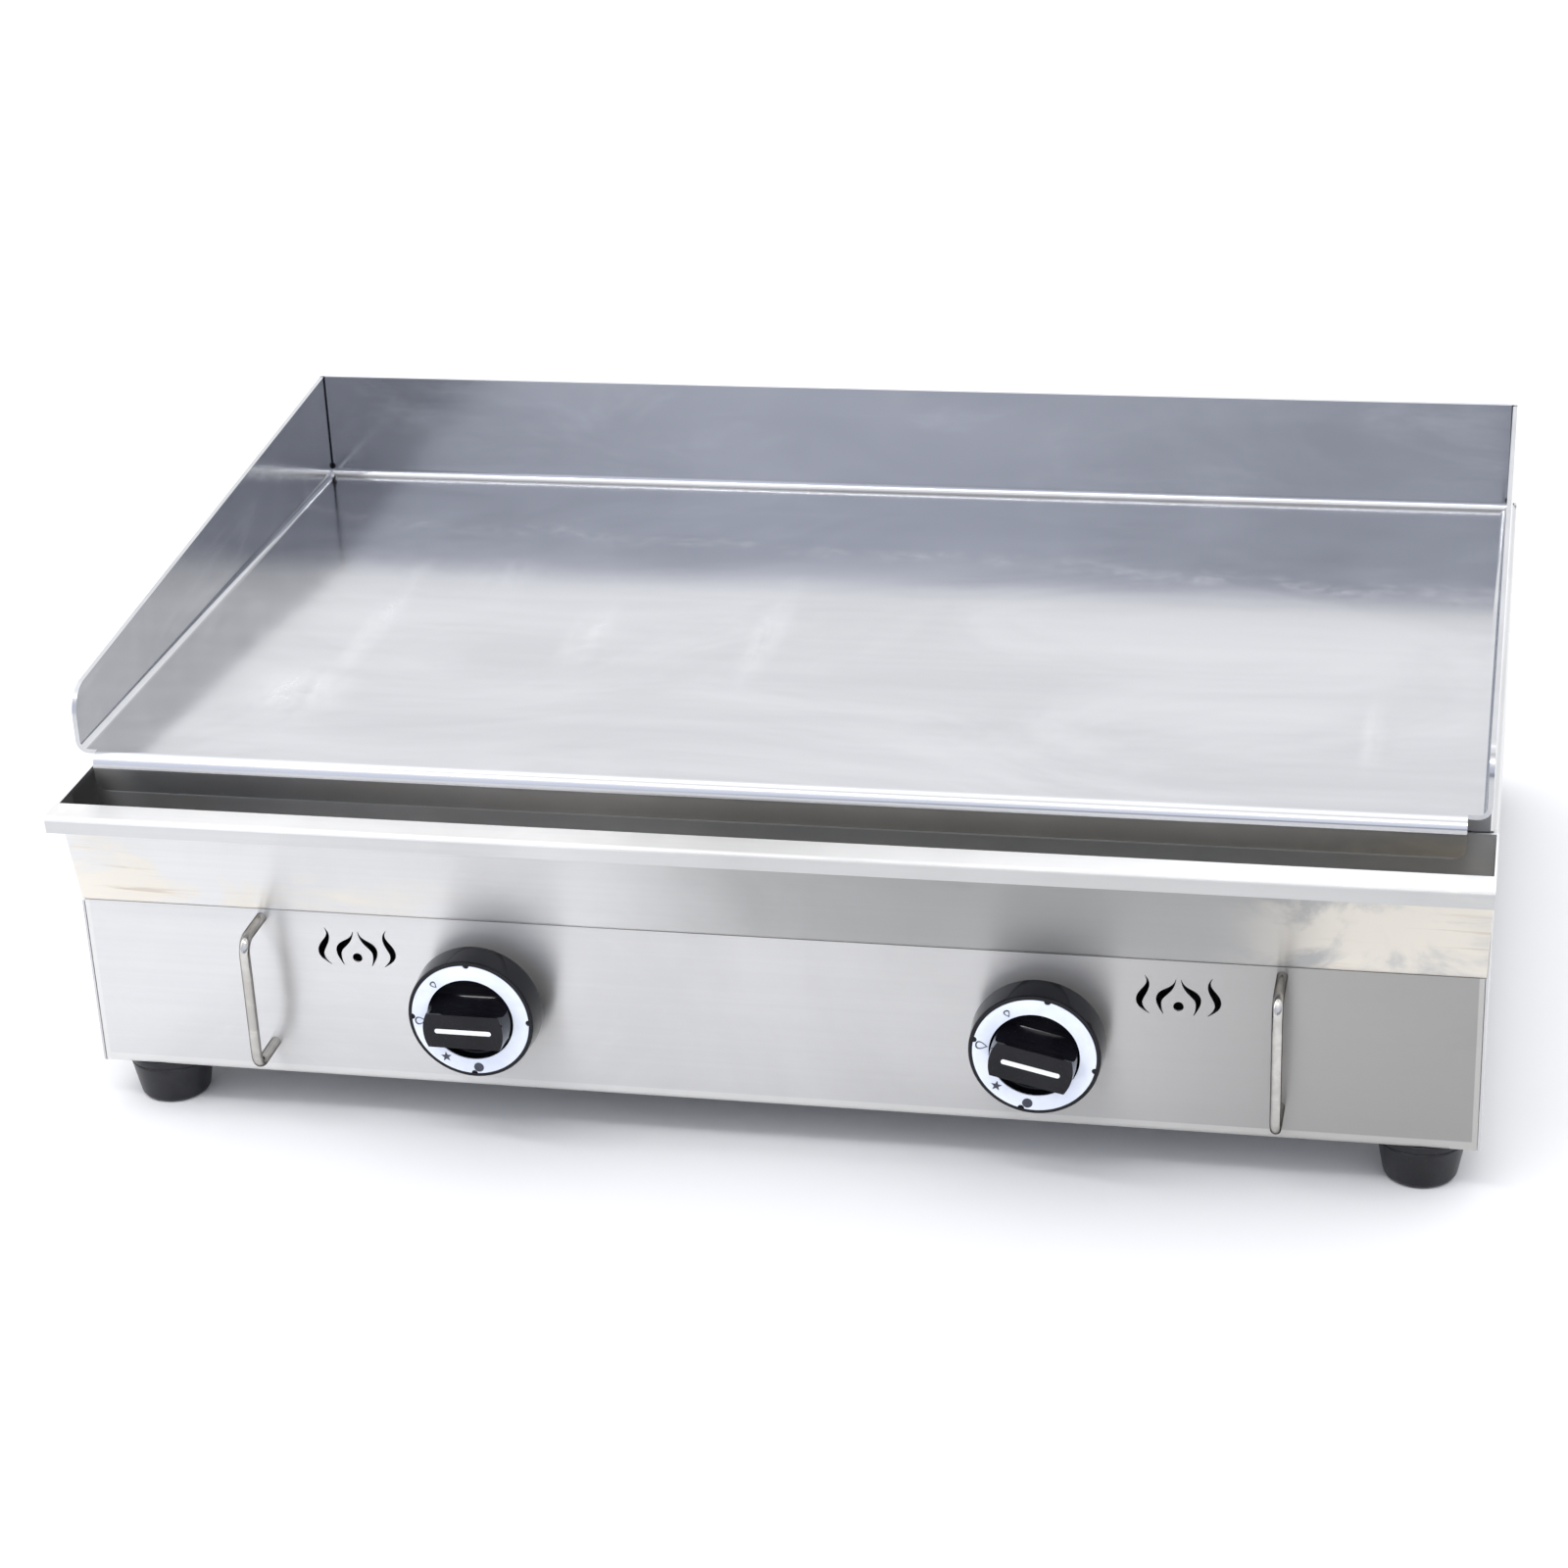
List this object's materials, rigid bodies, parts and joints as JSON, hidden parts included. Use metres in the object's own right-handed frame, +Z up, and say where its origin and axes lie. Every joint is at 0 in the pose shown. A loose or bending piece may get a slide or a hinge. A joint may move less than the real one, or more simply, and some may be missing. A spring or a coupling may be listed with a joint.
{
  "type": "flat top griddle",
  "caption": "Countertop gas griddle: folded flat cooking plate with splash guards over a steel body, front grease trough, push-and-turn knobs, rubber feet.",
  "frame": {"origin": "middle of the footprint's bounding box, on the surface under the feet", "axes": "+X across the width to the right seen from the front, +Y from the front to the back, +Z up"},
  "size_m": [0.733, 0.5702, 0.269],
  "materials": {
    "panel_steel": "fine horizontal brushing, satin",
    "trough_steel": "fine horizontal brushing with faint straw heat tint at the lower ends",
    "griddle_steel": "cold-rolled bright plate with cloudy wipe marks and fine scratches",
    "inner_steel": "plain mill finish",
    "burner_steel": "plain tube, slightly heat darkened",
    "shutter_steel": "bright zinc plate",
    "pipe_steel": "plain pipe",
    "valve_brass": "machined brass",
    "spindle_steel": "turned steel",
    "spring_steel": "drawn wire",
    "zinc_fasteners": "bright zinc plate",
    "pilot_tube_metal": "drawn tube",
    "knob_black": "gloss black moulding",
    "dial_white": "white printed ring, smooth",
    "dial_print": "black print",
    "grip_print": "white print",
    "handle_polished": "polished round bar",
    "foot_rubber": "black rubber, satin"
  },
  "bodies": {
    "casing": {"front_panel": "panel_steel", "left_side_panel": "panel_steel", "right_side_panel": "panel_steel", "back_panel": "panel_steel", "base_pan": "inner_steel", "flue_cover": "panel_steel", "grease_trough": "trough_steel", "front_rail": "inner_steel", "rear_rail": "inner_steel", "heat_shield": "inner_steel", "rear_burner_support": "inner_steel", "left_burner": "burner_steel", "right_burner": "burner_steel", "gas_manifold": "pipe_steel", "manifold_plug": "valve_brass", "manifold_elbow": "pipe_steel", "inlet_pipe": "pipe_steel", "inlet_nuts": "valve_brass", "left_valve_body": "valve_brass", "right_valve_body": "valve_brass", "left_valve_bonnet": "valve_brass", "right_valve_bonnet": "valve_brass", "bonnet_screws": "zinc_fasteners", "left_jet_elbow": "valve_brass", "right_jet_elbow": "valve_brass", "left_gas_jet": "valve_brass", "right_gas_jet": "valve_brass", "left_pilot_tube": "pilot_tube_metal", "right_pilot_tube": "pilot_tube_metal", "left_pilot_head": "valve_brass", "right_pilot_head": "valve_brass", "left_handle": "handle_polished", "right_handle": "handle_polished", "handle_nuts": "zinc_fasteners", "front_left_foot": "foot_rubber", "front_right_foot": "foot_rubber", "rear_left_foot": "foot_rubber", "rear_right_foot": "foot_rubber", "foot_screws": "zinc_fasteners", "panel_screws": "zinc_fasteners"},
    "pan": {"griddle_plate": "griddle_steel"},
    "left_shutter": {"left_air_shutter": "shutter_steel"},
    "right_shutter": {"right_air_shutter": "shutter_steel"},
    "left_plug": {"left_valve_plug": "valve_brass", "left_valve_spring": "spring_steel"},
    "right_plug": {"right_valve_plug": "valve_brass", "right_valve_spring": "spring_steel"},
    "left_control": {"left_spindle": "spindle_steel", "left_knob": "knob_black", "left_dial_ring": "dial_white", "left_dial_marks": "dial_print", "left_grip_mark": "grip_print"},
    "right_control": {"right_spindle": "spindle_steel", "right_knob": "knob_black", "right_dial_ring": "dial_white", "right_dial_marks": "dial_print", "right_grip_mark": "grip_print"}
  },
  "joints": [
    {"name": "pan_lift", "type": "slide", "parent": "casing", "child": "pan", "axis": [0, 0, 1], "range_m": [0, 0.15]},
    {"name": "left_knob_turn", "type": "hinge", "parent": "casing", "child": "left_plug", "pos_m": [-0.146, -0.1994, 0.083], "axis": [0, -1, 0], "range_deg": [-13, 137]},
    {"name": "left_knob_push", "type": "slide", "parent": "left_plug", "child": "left_control", "axis": [0, 1, 0], "range_m": [0, 0.004], "stiffness_N_per_m": 800, "springref_m": -0.006, "deforming": ["left_valve_spring"]},
    {"name": "left_air_shutter_turn", "type": "hinge", "parent": "casing", "child": "left_shutter", "pos_m": [-0.146, -0.1679, 0.117], "axis": [0, 1, 0], "range_deg": [-40, 40]},
    {"name": "right_knob_turn", "type": "hinge", "parent": "casing", "child": "right_plug", "pos_m": [0.146, -0.1994, 0.083], "axis": [0, -1, 0], "range_deg": [0, 150]},
    {"name": "right_knob_push", "type": "slide", "parent": "right_plug", "child": "right_control", "axis": [0, 1, 0], "range_m": [0, 0.004], "stiffness_N_per_m": 800, "springref_m": -0.006, "deforming": ["right_valve_spring"]},
    {"name": "right_air_shutter_turn", "type": "hinge", "parent": "casing", "child": "right_shutter", "pos_m": [0.146, -0.1679, 0.117], "axis": [0, 1, 0], "range_deg": [-40, 40]}
  ]
}
